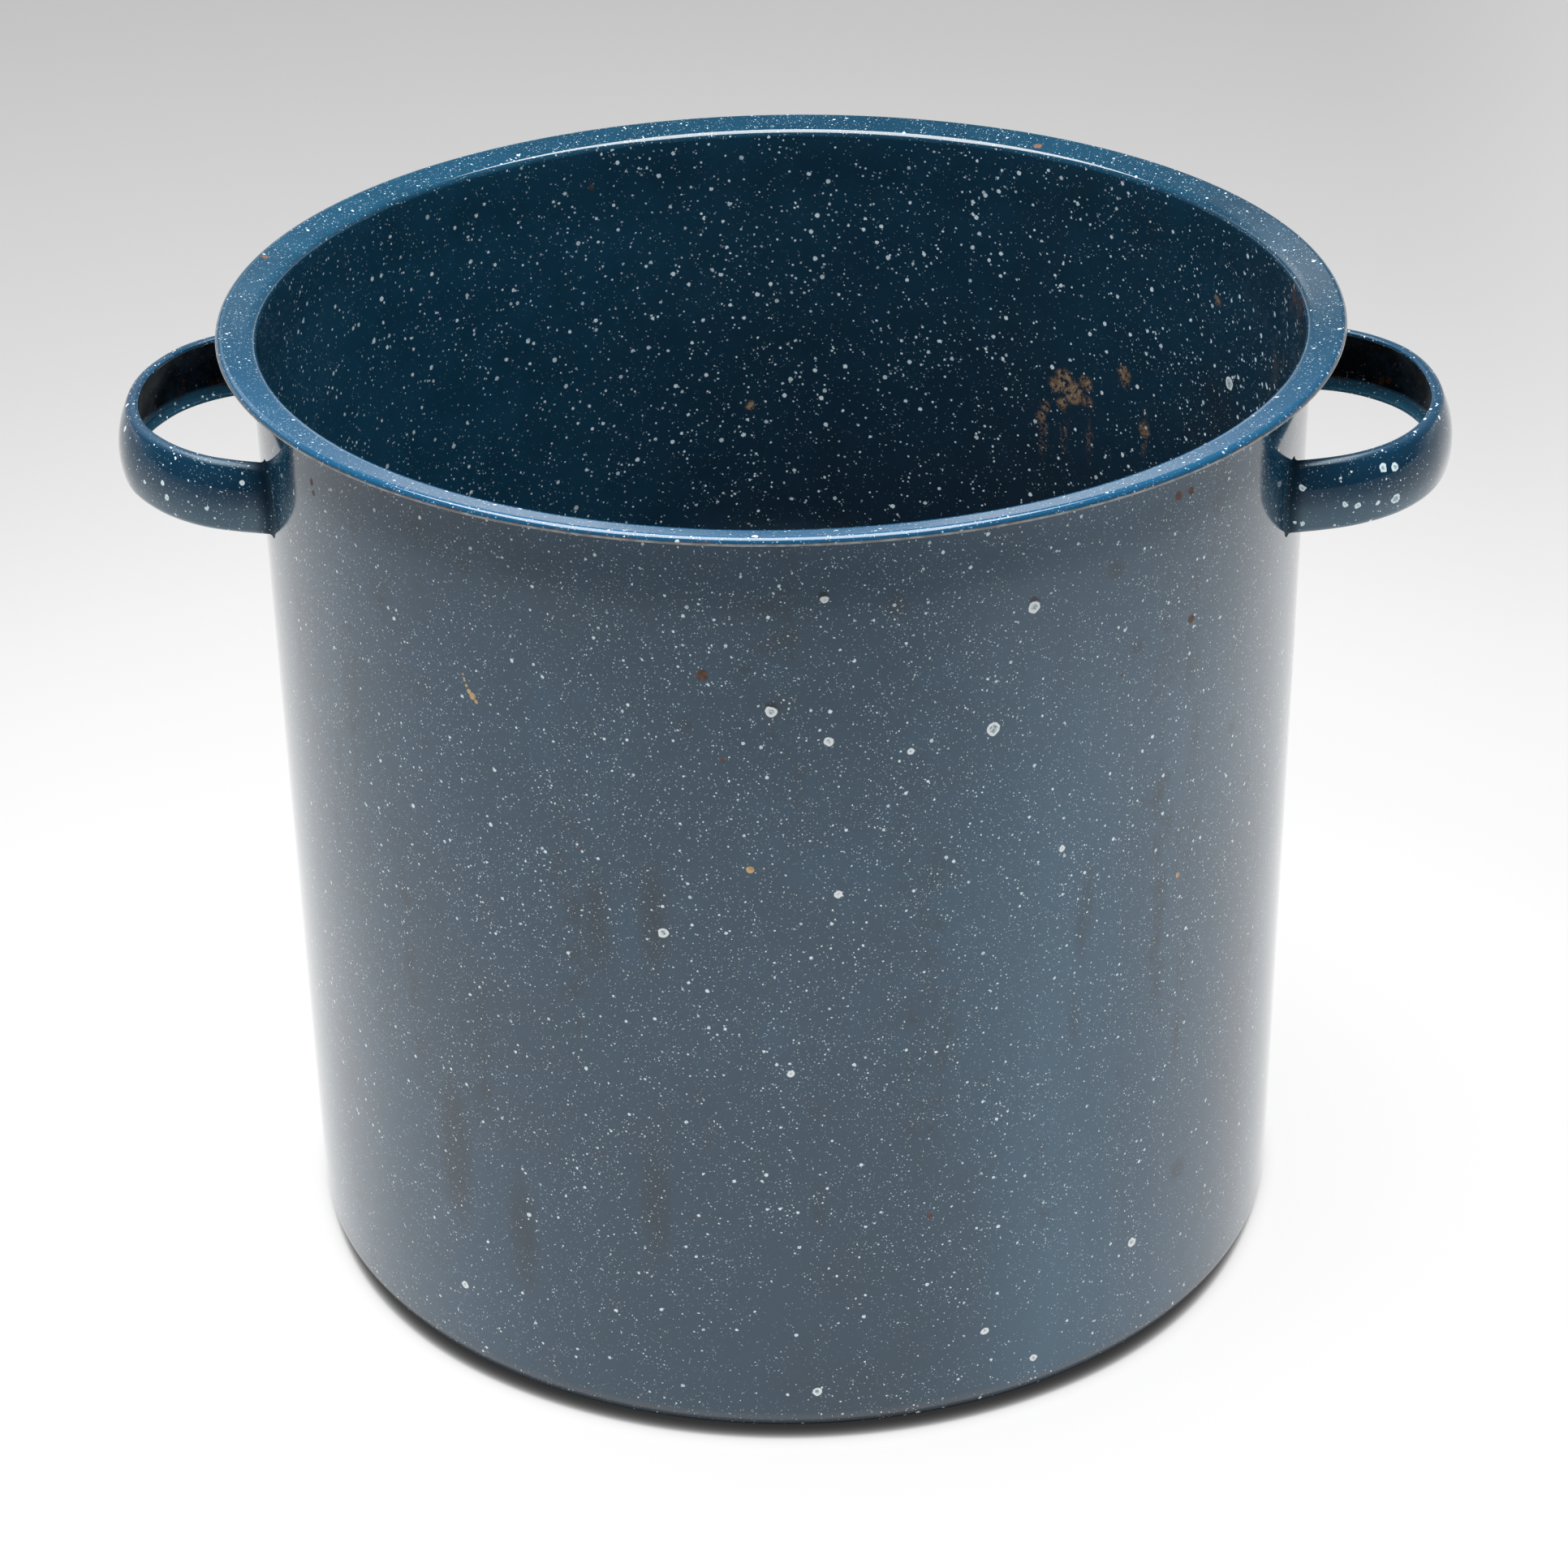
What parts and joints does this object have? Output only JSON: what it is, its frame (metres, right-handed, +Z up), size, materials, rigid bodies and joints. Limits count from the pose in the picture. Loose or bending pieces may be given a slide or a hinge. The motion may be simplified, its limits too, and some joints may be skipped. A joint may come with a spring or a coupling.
{
  "type": "stock pot",
  "caption": "Straight-sided speckled enamel steel stock pot, open at the top, with a turned-out flange rim and welded channel-strap loop handles on opposite sides.",
  "frame": {"origin": "centre of the base, on the plane the pot stands on", "axes": "+Z up the pot's axis, +X towards right_handle (left_handle is towards -X), +Y completes the right-handed frame"},
  "size_m": [0.4604, 0.3824, 0.344],
  "materials": {
    "shell_enamel": "gloss",
    "handle_enamel": "gloss"
  },
  "bodies": {
    "root": {"pot_body": "shell_enamel", "left_handle": "handle_enamel", "right_handle": "handle_enamel"}
  },
  "joints": []
}
